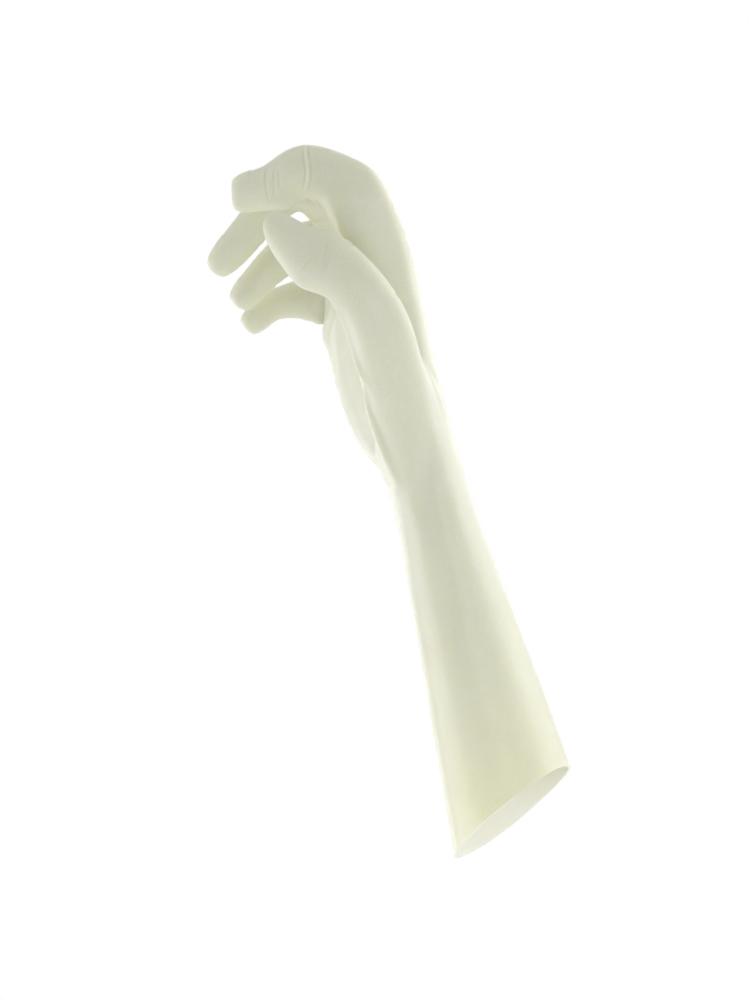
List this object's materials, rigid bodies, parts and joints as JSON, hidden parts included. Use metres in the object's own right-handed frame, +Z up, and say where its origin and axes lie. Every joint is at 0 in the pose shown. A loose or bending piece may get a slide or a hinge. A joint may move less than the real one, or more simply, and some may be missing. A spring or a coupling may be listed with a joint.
{
  "type": "latex glove",
  "caption": "Thin dipped latex glove with a long flared sleeve, kept in the shape of a right hand that pinches something flat between thumb and fingertips.",
  "frame": {"origin": "centre of the sleeve's slanted mouth, where the arm goes in", "axes": "+Z up the sleeve to the fingers, +X to the back of the hand, -Y to the thumb's side"},
  "size_m": [0.0827, 0.0941, 0.2656],
  "materials": {
    "latex": "satin natural latex, cream with a faint green-yellow tint"
  },
  "bodies": {
    "root": {"glove": "latex"}
  },
  "joints": []
}
